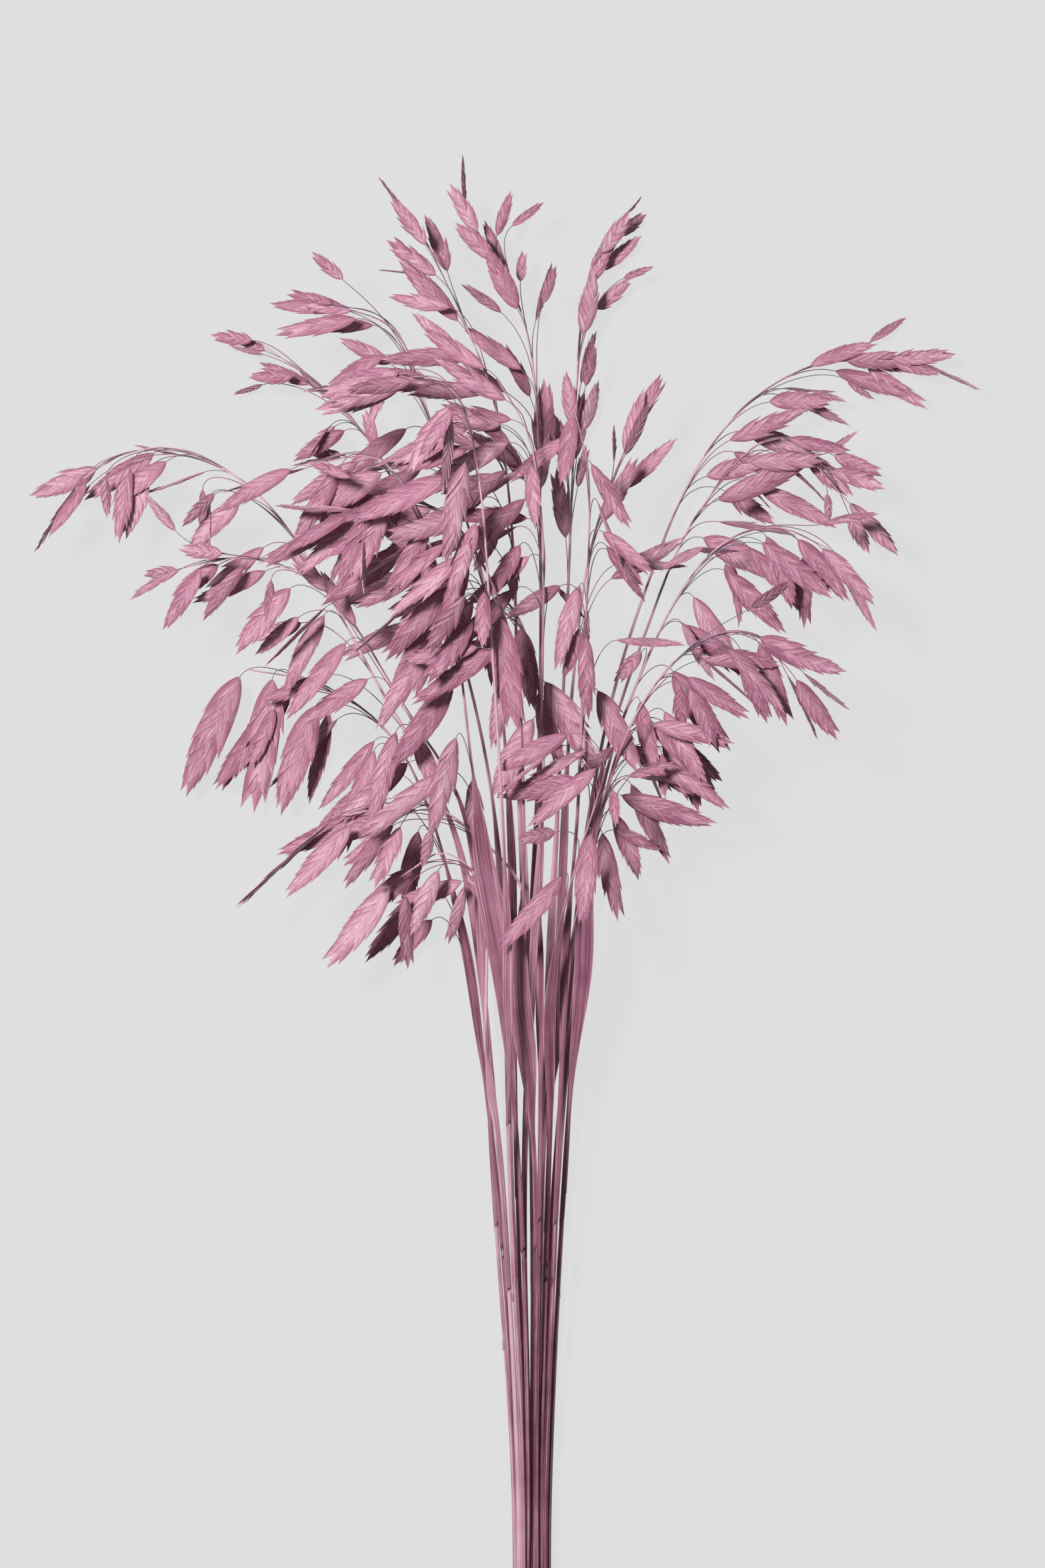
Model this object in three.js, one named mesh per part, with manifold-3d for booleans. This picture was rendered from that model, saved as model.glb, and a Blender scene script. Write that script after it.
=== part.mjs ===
// A bunch of dried, dyed wood oats, a grass with flat, nodding seed heads, lying on a surface.
// Every stem is one piece of plant: a culm that a strap leaf clasps, and a head of flat toothed spikelets
// on hair-thin stalks. The stems are packed at their cut ends and fan out above.
// Millimetres. +Y runs from the cut ends to the tips of the heads, +Z is up from the surface.

import * as THREE from "three";
import { mergeVertices } from "three/addons/utils/BufferGeometryUtils.js";
import Module from "manifold-3d";

const wasm = await Module();
wasm.setup();

// Where the packed lower half's columns and rows of stems stand, at three heights along the bunch
const LOWER_STATIONS = [
  { y: -300, middle: 9, columnPitch: 2.9, rowPitch: 2.6 },
  { y: -200, middle: 9, columnPitch: 3, rowPitch: 2.6 },
  { y: -85, middle: 8, columnPitch: 6, rowPitch: 7 },
];
const ROW_STAGGER = 0.25; // odd and even rows stand this share of a column to the right and left
const CUT_SPREAD = 9; // the cut ends aren't level

// The culm, which tapers evenly from its cut end to the tip of its head, and the strap leaf that clasps
// it for a stretch: a shallow channel, widest before its middle
const CUT_RADIUS = 1.25;
const TIP_RADIUS = 0.45;
const STEM_SIDES = 4;
const LEAF_CHANNEL = 0.3; // rise of the edges as a share of the half width
const LEAF_SKEW = 0.7; // under 1 brings the widest place nearer the foot
const LEAF_FULLNESS = 0.6; // under 1 makes the outline fuller than a plain arch

// A spikelet, with shares of its own length where there is no unit
const spikeletWidth = (length) => 3 + 0.23 * length; // long ones are slimmer
const SPIKELET_THICKNESS = 2.6;
const SPIKELET_SKEW = 0.9;
const SPIKELET_FULLNESS = 0.65;
const RIDGE_AT = 0.28;
const TEETH_RIGHT = [0.3, 0.56, 0.8];
const TEETH_LEFT = [0.42, 0.68, 0.88];
const NOTCH = 0.66; // width left at a notch

// Its stalk, and how the spikelets hang on it: degrees for turns, millimetres for reaches
const STALK_RADIUS = 0.5;
const STALK_REACH = [8, 22];
const STALK_ALONG = 0.45; // share of the reach along the culm, and out from it
const STALK_OUT = 0.75;
const TIP_REACH = 0.3; // share of it that is left at the tip of the head
const LEVELS = [-4.5, 4.5]; // neighbours hang at these levels by turns, so that they pass each other
const SIDE_TURN = 14;
const PITCH = 6;
const ROLL = 26;
const EDGE_ON_EVERY = 6; // one spikelet in so many shows its edge
const EDGE_ON_ROLL = 78;
const SIZE_RANGE = [0.82, 1.14];

// The stems, laid by hand. place is the column and row in the packed half, height how far the head lies
// above the surface, and route the way of the culm from there to the tip of the head. The spikelets
// start at route point head. From the first to the last of them the heading turns between the two values
// of hang, in degrees from +X, straying by spread, and the length changes between the two values of size.
// leaf gives the two ends of the strap leaf, counted in route points, and its width.
const STEMS = [
  { place: [-2, 0], height: 13, head: 0.5, count: 9, hang: [246, 242], spread: 10, size: [34, 50], seed: 19,
    route: [[-15, -8], [-30, 52], [-48, 84], [-74, 100], [-98, 105]], leaf: [-0.8, 0.9, 3.8] },
  { place: [-2, 1], height: 30, head: 1, count: 11, hang: [206, 238], spread: 20, size: [31, 30], seed: 80,
    route: [[-18, 35], [-50, 101], [-86, 162], [-118, 186], [-142, 187], [-160, 177]], leaf: [-0.9, 0.6, 3] },
  { place: [-2, 2], height: 50, head: 0.5, count: 11, hang: [242, 206], spread: 16, size: [37, 22], seed: 43,
    route: [[-14, 40], [-40, 92], [-66, 132], [-95, 146], [-120, 143]], leaf: [-0.7, 0.5, 3.4] },
  { place: [-2, 3], height: 40, head: 2, count: 4, hang: [222, 233], spread: 8, size: [26, 38], seed: 56,
    route: [[-8, -40], [-8, 2], [-10, 24], [-24, 36], [-40, 27]], leaf: [-0.95, 0.3, 3.2] },
  { place: [-1, 0], height: 14, head: 1, count: 10, hang: [202, 176], spread: 18, size: [31, 16], seed: 69,
    route: [[-4, 40], [-20, 120], [-40, 170], [-64, 206], [-94, 229]], leaf: [-0.8, 0.4, 3] },
  { place: [-1, 1], height: 37, head: 1, count: 10, hang: [208, 180], spread: 26, size: [34, 26], seed: 26,
    route: [[0, 60], [-10, 140], [-28, 195], [-41, 231], [-59, 240]], leaf: [-0.6, 0.3, 3.2] },
  { place: [-1, 2], height: 44, head: 2.5, count: 5, hang: [224, 221], spread: 10, size: [30, 48], seed: 45,
    route: [[2, -20], [6, 20], [-14, 44], [-32, 54], [-62, 50]], leaf: [-0.9, 0.6, 3] },
  { place: [-1, 3], height: 72, head: 1, count: 12, hang: [234, 206], spread: 24, size: [38, 32], seed: 52,
    route: [[-4, 2], [-13, 66], [-22, 128], [-44, 180], [-76, 180]], leaf: [-0.8, 1.2, 9.5] },
  { place: [0, 0], height: 26, head: 1, count: 11, hang: [124, 96], spread: 30, size: [30, 19], seed: 2,
    route: [[12, 85], [12, 165], [10, 215], [2, 248], [-14, 273]], leaf: [-0.8, 0.1, 3.2] },
  { place: [0, 1], height: 55, head: 1, count: 11, hang: [214, 126], spread: 26, size: [35, 25], seed: 30,
    route: [[4, 80], [2, 150], [-4, 200], [-16, 234], [-31, 265]], leaf: [-0.7, 0.2, 3.2] },
  { place: [0, 2], height: 56, head: 1, count: 10, hang: [262, 240], spread: 30, size: [34, 30], seed: 31,
    route: [[12, 36], [13, 88], [5, 122], [-8, 134], [-26, 126]], leaf: [-0.8, 0.5, 3.4] },
  { place: [0, 3], height: 92, head: 2, count: 12, hang: [236, 212], spread: 28, size: [38, 33], seed: 31,
    route: [[5, -20], [6, 50], [2, 112], [-16, 154], [-40, 168], [-56, 162]], leaf: [-0.8, 0.8, 8.5] },
  { place: [1, 0], height: 10.5, head: 1, count: 11, hang: [96, 46], spread: 18, size: [26, 18], seed: 25,
    route: [[20, 76], [23, 140], [25, 190], [28, 240], [36, 267]], leaf: [-0.9, 0.1, 3] },
  { place: [1, 1], height: 40, head: 1.5, count: 5, hang: [36, 62], spread: 10, size: [31, 27], seed: 27,
    route: [[22, 60], [25, 105], [30, 145], [37, 168], [44, 187]], leaf: [-0.7, 0.4, 3.2] },
  { place: [1, 2], height: 46, head: 1.5, count: 8, hang: [300, 300], spread: 26, size: [34, 28], seed: 31,
    route: [[22, -10], [30, 30], [37, 60], [46, 84], [60, 82]], leaf: [-0.9, 0.5, 4.5] },
  { place: [1, 3], height: 84, head: 1, count: 6, hang: [236, 207], spread: 26, size: [33, 30], seed: 17,
    route: [[17, -8], [25, 30], [33, 56], [36, 70], [27, 80]], leaf: [-0.9, 0.5, 4.5] },
  { place: [2, 0], height: 11.5, head: 1.5, count: 11, hang: [12, -24], spread: 16, size: [30, 26], seed: 14,
    route: [[33, 62], [56, 146], [80, 194], [112, 219], [150, 223]], leaf: [-0.8, 0.3, 3.2] },
  { place: [2, 1], height: 34, head: 1.5, count: 10, hang: [354, 312], spread: 18, size: [34, 22], seed: 31,
    route: [[32, 48], [56, 130], [76, 170], [102, 192], [130, 166]], leaf: [-0.6, 0.5, 3.4] },
  { place: [2, 2], height: 52, head: 1, count: 11, hang: [326, 296], spread: 20, size: [33, 30], seed: 11,
    route: [[33, 46], [52, 108], [74, 146], [98, 158], [120, 150]], leaf: [-0.9, 0.4, 3.2] },
  { place: [2, 3], height: 70, head: 1.5, count: 12, hang: [330, 303], spread: 18, size: [34, 27], seed: 47,
    route: [[28, -4], [34, 46], [48, 88], [70, 114], [90, 118], [103, 106]], leaf: [-0.7, 1, 7] },
  { place: [-1, 4], height: 110, head: 2.5, count: 10, hang: [228, 196], spread: 28, size: [37, 31], seed: 8,
    route: [[0.5, -35], [-1.5, 40], [-6, 116], [-10, 170], [-18, 204], [-36, 213]], leaf: [-0.2, 1.2, 3.4] },
  { place: [1, 4], height: 78, head: 2.5, count: 10, hang: [250, 150], spread: 36, size: [32, 28], seed: 21,
    route: [[12.2, -10], [12, 50], [13, 112], [13, 155], [8, 190], [-4, 212]], leaf: [-0.7, 0.6, 3] },
  { place: [2, 4], height: 70, head: 2, count: 8, hang: [284, 262], spread: 40, size: [31, 27], seed: 69,
    route: [[22, 0], [26, 50], [28, 100], [30, 145], [30, 178], [25, 200]], leaf: [-0.7, 0.7, 3.2] },
];

const degrees = THREE.MathUtils.degToRad;
const mix = THREE.MathUtils.lerp;
const UP = new THREE.Vector3(0, 0, 1);

// Seeded draws from a linear congruential generator, so that every build gives the same bunch
function seededDraws(seed) {
  let state = Math.imul(seed, 2654435761) >>> 0;
  return (low, high) => {
    state = (Math.imul(state, 1664525) + 1013904223) >>> 0;
    return mix(low, high, state / 2 ** 32);
  };
}

function closedShell(points, faces) {
  const geometry = new THREE.BufferGeometry().setFromPoints(points);
  geometry.setIndex(faces.flat());
  return geometry;
}

function solidOf(geometry) {
  const bare = geometry.clone();
  bare.deleteAttribute("normal");
  bare.deleteAttribute("uv");
  const { attributes, index } = mergeVertices(bare);
  return new wasm.Manifold(new wasm.Mesh({
    numProp: 3,
    vertProperties: new Float32Array(attributes.position.array),
    triVerts: new Uint32Array(index.array),
  }));
}

function geometryOf(solid) {
  const { vertProperties, triVerts } = solid.getMesh();
  const geometry = new THREE.BufferGeometry();
  geometry.setAttribute("position", new THREE.BufferAttribute(vertProperties, 3));
  geometry.setIndex(new THREE.BufferAttribute(triVerts, 1));
  geometry.computeVertexNormals();
  return geometry;
}

// Pieces that grew together. A hollow that joining seals is filled and a loose scrap dropped.
function grownTogether(geometries) {
  const whole = geometries.map(solidOf).reduce((joined, solid) => joined.add(solid));
  return whole.decompose().reduce((largest, body) => (body.volume() > largest.volume() ? body : largest));
}

// The centre line of a stem: through its place in the packed half, then along its own route, rising to
// the height of its head. share gives the curve's parameter at a route point.
function stemPath(stem, draw) {
  const [column, row] = stem.place;
  const across = column + (row % 2 ? ROW_STAGGER : -ROW_STAGGER);
  const lower = LOWER_STATIONS.map(({ y, middle, columnPitch, rowPitch }, i) => new THREE.Vector3(
    middle + across * columnPitch,
    i === 0 ? y + draw(0, CUT_SPREAD) : y,
    CUT_RADIUS + row * rowPitch,
  ));
  const foot = lower.at(-1).z;
  const upper = stem.route.map(([x, y], i) => {
    const rise = Math.sin((Math.PI / 2) * Math.min(1, (i + 1) / (stem.head + 2)));
    return new THREE.Vector3(x, y, mix(foot, stem.height, rise));
  });
  const points = [...lower, ...upper];
  const path = new THREE.CatmullRomCurve3(points, false, "catmullrom", 0.5);
  const share = (routePoint) => (lower.length + routePoint) / (points.length - 1);
  return { path, share };
}

// Half the width of a strap leaf at a share of its length, none past its ends
function leafHalfWidth([from, to, width], routePoint) {
  const share = THREE.MathUtils.clamp((routePoint - from) / (to - from), 0, 1);
  return (width / 2) * Math.sin(Math.PI * share ** LEAF_SKEW) ** LEAF_FULLNESS;
}

// A culm with its leaf as one closed loft. The section is a diamond with its two side corners drawn out
// into the halves of the leaf.
function culm(stem, path, share) {
  const last = stem.route.length - 1;
  const stations = [-3, -2];
  for (let n = -2; n <= 2 * last; n++) stations.push(n / 2);
  const points = [];
  const rings = stations.map((routePoint) => {
    const at = share(routePoint);
    const radius = mix(CUT_RADIUS, TIP_RADIUS, at);
    const centre = path.getPoint(at);
    const onward = path.getTangent(at);
    const side = onward.clone().cross(UP).normalize();
    const top = side.clone().cross(onward);
    const blade = leafHalfWidth(stem.leaf, routePoint);
    return Array.from({ length: STEM_SIDES }, (_, k) => {
      const turn = (2 * Math.PI * k) / STEM_SIDES;
      const drawnOut = k % (STEM_SIDES / 2) === 0 ? Math.max(0, blade - radius) : 0;
      return points.push(centre.clone()
        .addScaledVector(side, (radius + drawnOut) * Math.cos(turn))
        .addScaledVector(top, radius * Math.sin(turn) + LEAF_CHANNEL * drawnOut)) - 1;
    });
  });
  const faces = [];
  for (let k = 2; k < STEM_SIDES; k++) {
    faces.push([rings[0][0], rings[0][k - 1], rings[0][k]]);
    faces.push([rings.at(-1)[0], rings.at(-1)[k], rings.at(-1)[k - 1]]);
  }
  rings.slice(1).forEach((ring, i) => ring.forEach((corner, k) => {
    const before = rings[i];
    const next = (k + 1) % STEM_SIDES;
    faces.push([before[k], corner, ring[next]], [before[k], ring[next], before[next]]);
  }));
  return closedShell(points, faces);
}

// The outline of a spikelet, as a share of its half width: a narrow foot, widest before the middle
const outline = (share) => Math.sin(Math.PI * share ** SPIKELET_SKEW) ** SPIKELET_FULLNESS;

// One edge of it as [share of length, share of half width]: a row of teeth, each with a notch after it
const toothedEdge = (teeth) => teeth.flatMap((at) => [[at, outline(at)], [at, NOTCH * outline(at)]]);

// A spikelet on its stalk as one closed shell: a three-sided stalk whose upper end opens into a flat
// lens with toothed edges. along, across and facing are the spikelet's own axes.
function stalkedSpikelet({ root, foot, along, across, facing, length }) {
  const points = [];
  const [start, end] = [root, foot].map((centre) => [90, -30, 210].map(degrees).map((turn) =>
    points.push(centre.clone()
      .addScaledVector(across, STALK_RADIUS * Math.cos(turn))
      .addScaledVector(facing, STALK_RADIUS * Math.sin(turn))) - 1));
  const faces = [start];
  end.forEach((corner, k) => {
    const next = (k + 1) % end.length;
    faces.push([start[k], corner, end[next]], [start[k], end[next], start[next]]);
  });
  const half = spikeletWidth(length) / 2;
  const place = (share, wide, thick) => points.push(foot.clone()
    .addScaledVector(along, share * length)
    .addScaledVector(across, wide * half)
    .addScaledVector(facing, thick)) - 1;
  const [top, right, left] = end;
  const apex = place(1, 0, 0);
  const ridge = place(RIDGE_AT, 0, SPIKELET_THICKNESS / 2);
  const keel = place(RIDGE_AT, 0, -SPIKELET_THICKNESS / 2);
  const rightEdge = [right, ...toothedEdge(TEETH_RIGHT).map(([s, w]) => place(s, w, 0)), apex];
  const leftEdge = [left, ...toothedEdge(TEETH_LEFT).map(([s, w]) => place(s, -w, 0)), apex];
  const spans = (edge) => edge.slice(1).map((end, i) => [edge[i], end]);
  spans([top, ...rightEdge]).forEach(([a, b]) => faces.push([ridge, b, a]));
  spans([top, ...leftEdge]).forEach(([a, b]) => faces.push([ridge, a, b]));
  spans(rightEdge).forEach(([a, b]) => faces.push([keel, a, b]));
  spans(leftEdge).forEach(([a, b]) => faces.push([keel, b, a]));
  faces.push([keel, left, right]);
  return closedShell(points, faces);
}

// Where each spikelet of a head hangs, turned to the left and the right of the heading by turns
function spikeletPlaces(stem, path, headStart, draw) {
  return Array.from({ length: stem.count }, (_, i) => {
    const share = i / (stem.count - 1);
    const at = mix(headStart, 1, share);
    const last = i === stem.count - 1;
    const stray = (i % 2 ? SIDE_TURN : -SIDE_TURN) + draw(-stem.spread, stem.spread);
    const heading = degrees(mix(...stem.hang, share) + (last ? 0 : stray));
    const pitch = degrees(draw(-PITCH, PITCH));
    const along = new THREE.Vector3(
      Math.cos(heading) * Math.cos(pitch),
      Math.sin(heading) * Math.cos(pitch),
      Math.sin(pitch),
    );
    const edgeOn = i % EDGE_ON_EVERY === EDGE_ON_EVERY - 2;
    const roll = degrees(draw(-ROLL, ROLL) + (edgeOn ? EDGE_ON_ROLL : 0));
    const facing = UP.clone().addScaledVector(along, -along.z).normalize().applyAxisAngle(along, roll);
    const across = facing.clone().cross(along);
    const reach = draw(...STALK_REACH) * mix(1, TIP_REACH, share);
    const lift = last ? 0 : LEVELS[i % LEVELS.length];
    const length = mix(...stem.size, share) * (last ? 1 : draw(...SIZE_RANGE));
    const root = path.getPoint(at);
    const foot = root.clone().addScaledVector(path.getTangent(at), STALK_ALONG * reach)
      .addScaledVector(along, STALK_OUT * reach).addScaledVector(UP, lift);
    return { root, foot, along, across, facing, length };
  });
}

// One stem: its culm and leaf, and the spikelets of its head
function stemSolid(stem) {
  const draw = seededDraws(stem.seed);
  const { path, share } = stemPath(stem, draw);
  const spikelets = spikeletPlaces(stem, path, share(stem.head), draw).map(stalkedSpikelet);
  return grownTogether([culm(stem, path, share), ...spikelets]);
}

const bunch = new THREE.Group();

STEMS.forEach((stem, i) => {
  const dyedStraw = new THREE.MeshStandardMaterial({ color: 0xb8829a, roughness: 0.8, metalness: 0 });
  const mesh = new THREE.Mesh(geometryOf(stemSolid(stem)), dyedStraw);
  mesh.name = `wood_oats_stem_${String(i + 1).padStart(2, "0")}`;
  bunch.add(mesh);
});

export default bunch;
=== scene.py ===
# A bunch of dried, dyed wood oats lying on a pale floor, seen from straight above.
# The table and the rules of growth are in millimetres, and the meshes in metres.

import math

import bpy
import numpy as np
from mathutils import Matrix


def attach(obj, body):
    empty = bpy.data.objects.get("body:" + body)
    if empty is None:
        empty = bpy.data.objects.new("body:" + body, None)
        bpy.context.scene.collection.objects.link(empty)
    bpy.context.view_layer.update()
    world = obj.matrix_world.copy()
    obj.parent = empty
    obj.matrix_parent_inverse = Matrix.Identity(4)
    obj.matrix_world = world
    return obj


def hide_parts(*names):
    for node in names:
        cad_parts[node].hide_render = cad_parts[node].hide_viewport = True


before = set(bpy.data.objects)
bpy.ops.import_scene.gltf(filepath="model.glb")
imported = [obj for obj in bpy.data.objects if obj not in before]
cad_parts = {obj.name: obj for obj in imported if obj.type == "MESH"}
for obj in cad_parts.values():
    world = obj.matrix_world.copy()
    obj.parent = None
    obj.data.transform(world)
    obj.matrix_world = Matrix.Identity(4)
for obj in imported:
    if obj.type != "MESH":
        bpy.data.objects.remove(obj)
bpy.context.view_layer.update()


# Culms
# A culm is the round, jointed straw that carries everything else, thickest at its cut end and dyed
# right through. The culms are packed side by side at their cut ends and bow out to their nodding heads.

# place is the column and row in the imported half, height how far the head lies above the floor, and
# route the way of the culm from there to the tip of the head. The spikelets start at route point head.
# From the first to the last of them the heading turns between the two values of hang, straying by
# spread, and the length changes between the two of size. leaf gives the two ends of the strap leaf,
# counted in route points, and its width.
STEMS = (
    dict(place=(-2, 0), height=13, head=0.5, count=9, hang=(246, 242), spread=10, size=(34, 50), seed=19,
         route=((-15, -8), (-30, 52), (-48, 84), (-74, 100), (-98, 105)), leaf=(-0.8, 0.9, 3.8)),
    dict(place=(-2, 1), height=30, head=1, count=11, hang=(206, 238), spread=20, size=(31, 30), seed=80,
         route=((-18, 35), (-50, 101), (-86, 162), (-118, 186), (-142, 187), (-160, 177)),
         leaf=(-0.9, 0.6, 3)),
    dict(place=(-2, 2), height=50, head=0.5, count=11, hang=(242, 206), spread=16, size=(37, 22), seed=43,
         route=((-14, 40), (-40, 92), (-66, 132), (-95, 146), (-120, 143)), leaf=(-0.7, 0.5, 3.4)),
    dict(place=(-2, 3), height=40, head=2, count=4, hang=(222, 233), spread=8, size=(26, 38), seed=56,
         route=((-8, -40), (-8, 2), (-10, 24), (-24, 36), (-40, 27)), leaf=(-0.95, 0.3, 3.2)),
    dict(place=(-1, 0), height=14, head=1, count=10, hang=(202, 176), spread=18, size=(31, 16), seed=69,
         route=((-4, 40), (-20, 120), (-40, 170), (-64, 206), (-94, 229)), leaf=(-0.8, 0.4, 3)),
    dict(place=(-1, 1), height=37, head=1, count=10, hang=(208, 180), spread=26, size=(34, 26), seed=26,
         route=((0, 60), (-10, 140), (-28, 195), (-41, 231), (-59, 240)), leaf=(-0.6, 0.3, 3.2)),
    dict(place=(-1, 2), height=44, head=2.5, count=5, hang=(224, 221), spread=10, size=(30, 48), seed=45,
         route=((2, -20), (6, 20), (-14, 44), (-32, 54), (-62, 50)), leaf=(-0.9, 0.6, 3)),
    dict(place=(-1, 3), height=72, head=1, count=12, hang=(234, 206), spread=24, size=(38, 32), seed=52,
         route=((-4, 2), (-13, 66), (-22, 128), (-44, 180), (-76, 180)), leaf=(-0.8, 1.2, 9.5)),
    dict(place=(0, 0), height=26, head=1, count=11, hang=(124, 96), spread=30, size=(30, 19), seed=2,
         route=((12, 85), (12, 165), (10, 215), (2, 248), (-14, 273)), leaf=(-0.8, 0.1, 3.2)),
    dict(place=(0, 1), height=55, head=1, count=11, hang=(214, 126), spread=26, size=(35, 25), seed=30,
         route=((4, 80), (2, 150), (-4, 200), (-16, 234), (-31, 265)), leaf=(-0.7, 0.2, 3.2)),
    dict(place=(0, 2), height=56, head=1, count=10, hang=(262, 240), spread=30, size=(34, 30), seed=31,
         route=((12, 36), (13, 88), (5, 122), (-8, 134), (-26, 126)), leaf=(-0.8, 0.5, 3.4)),
    dict(place=(0, 3), height=92, head=2, count=12, hang=(236, 212), spread=28, size=(38, 33), seed=31,
         route=((5, -20), (6, 50), (2, 112), (-16, 154), (-40, 168), (-56, 162)), leaf=(-0.8, 0.8, 8.5)),
    dict(place=(1, 0), height=10.5, head=1, count=11, hang=(96, 46), spread=18, size=(26, 18), seed=25,
         route=((20, 76), (23, 140), (25, 190), (28, 240), (36, 267)), leaf=(-0.9, 0.1, 3)),
    dict(place=(1, 1), height=40, head=1.5, count=5, hang=(36, 62), spread=10, size=(31, 27), seed=27,
         route=((22, 60), (25, 105), (30, 145), (37, 168), (44, 187)), leaf=(-0.7, 0.4, 3.2)),
    dict(place=(1, 2), height=46, head=1.5, count=8, hang=(300, 300), spread=26, size=(34, 28), seed=31,
         route=((22, -10), (30, 30), (37, 60), (46, 84), (60, 82)), leaf=(-0.9, 0.5, 4.5)),
    dict(place=(1, 3), height=84, head=1, count=6, hang=(236, 207), spread=26, size=(33, 30), seed=17,
         route=((17, -8), (25, 30), (33, 56), (36, 70), (27, 80)), leaf=(-0.9, 0.5, 4.5)),
    dict(place=(2, 0), height=11.5, head=1.5, count=11, hang=(12, -24), spread=16, size=(30, 26), seed=14,
         route=((33, 62), (56, 146), (80, 194), (112, 219), (150, 223)), leaf=(-0.8, 0.3, 3.2)),
    dict(place=(2, 1), height=34, head=1.5, count=10, hang=(354, 312), spread=18, size=(34, 22), seed=31,
         route=((32, 48), (56, 130), (76, 170), (102, 192), (130, 166)), leaf=(-0.6, 0.5, 3.4)),
    dict(place=(2, 2), height=52, head=1, count=11, hang=(326, 296), spread=20, size=(33, 30), seed=11,
         route=((33, 46), (52, 108), (74, 146), (98, 158), (120, 150)), leaf=(-0.9, 0.4, 3.2)),
    dict(place=(2, 3), height=70, head=1.5, count=12, hang=(330, 303), spread=18, size=(34, 27), seed=47,
         route=((28, -4), (34, 46), (48, 88), (70, 114), (90, 118), (103, 106)), leaf=(-0.7, 1, 7)),
    dict(place=(-1, 4), height=110, head=2.5, count=10, hang=(228, 196), spread=28, size=(37, 31), seed=8,
         route=((0.5, -35), (-1.5, 40), (-6, 116), (-10, 170), (-18, 204), (-36, 213)),
         leaf=(-0.2, 1.2, 3.4)),
    dict(place=(1, 4), height=78, head=2.5, count=10, hang=(250, 150), spread=36, size=(32, 28), seed=21,
         route=((12.2, -10), (12, 50), (13, 112), (13, 155), (8, 190), (-4, 212)), leaf=(-0.7, 0.6, 3)),
    dict(place=(2, 4), height=70, head=2, count=8, hang=(284, 262), spread=40, size=(31, 27), seed=69,
         route=((22, 0), (26, 50), (28, 100), (30, 145), (30, 178), (25, 200)), leaf=(-0.7, 0.7, 3.2)),
)
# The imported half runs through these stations: y, the middle's x, and the pitch of columns and of rows.
PACKED_STATIONS = ((-300, 9, 2.9, 2.6), (-200, 9, 3, 2.6), (-85, 8, 6, 7))
ROW_STAGGER = 0.25  # in columns
CUT_SPREAD = 9
CUT_RADIUS = 1.25
TIP_RADIUS = 0.22
TAPER = 1.25  # over 1 thins the culm sooner
GIRTHS = (0.6, 0.84)  # shares of the cut radius
BOWS = (-1.0, 1.0)
BOWED_SPANS = 3.0  # the bow runs out at the first route point
CULM = 0
CULM_SIDES = 12
CULM_STEPS = 72
FIRST_JOINT = (20, 60)
JOINT_GAPS = (100, 170)
JOINTED_SHARE = 0.42  # past this share of a culm no further joint follows
JOINT_SWELLING = 0.1
JOINT_LENGTH = 1.0
JOINT_RINGS = np.array([-2.5, -1.2, -0.6, -0.2, 0.2, 0.6, 1.2, 2.5])  # in joint lengths
SHEATH_STEP = 0.22  # share that the sheath adds to the radius above a joint
SHEATH_SHARPNESS = 60
HOLLOW_DEPTH = 3
HOLLOW_SHARE = 0.6
# Painted light: the culms grow paler towards the tip, so that the upper ones, in shade under the heads, look
# lit.
PAINTED_LIGHT_TOWARDS_TIP = 0.5
FLANK_SHADE_FADE = 0.25  # share by which the painted shade on the dark flanks fades towards the tip
FIBRE_STRETCH = 0.012  # how slowly the streaks change along the fibres, against across them
FIBRE_SHIFT = 10  # range from which each skin takes the start of its streaks
MM = 0.001
UP = np.array([0.0, 0.0, 1.0])


def seeded_draws(seed):
    """Draws that come out the same in every run."""
    state = seed * 2654435761 % 2**32

    def draw(low, high):
        nonlocal state
        state = (state * 1664525 + 1013904223) % 2**32
        return low + (high - low) * state / 2**32

    return draw


def mix(low, high, share):
    return low + (high - low) * share


def unit(vectors):
    return vectors / np.linalg.norm(vectors, axis=-1, keepdims=True)


def per_point(*values):
    """Three values for each point of a skin, from values that change along it, round it or not at all."""
    return np.stack(np.broadcast_arrays(*values), axis=-1)


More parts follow.
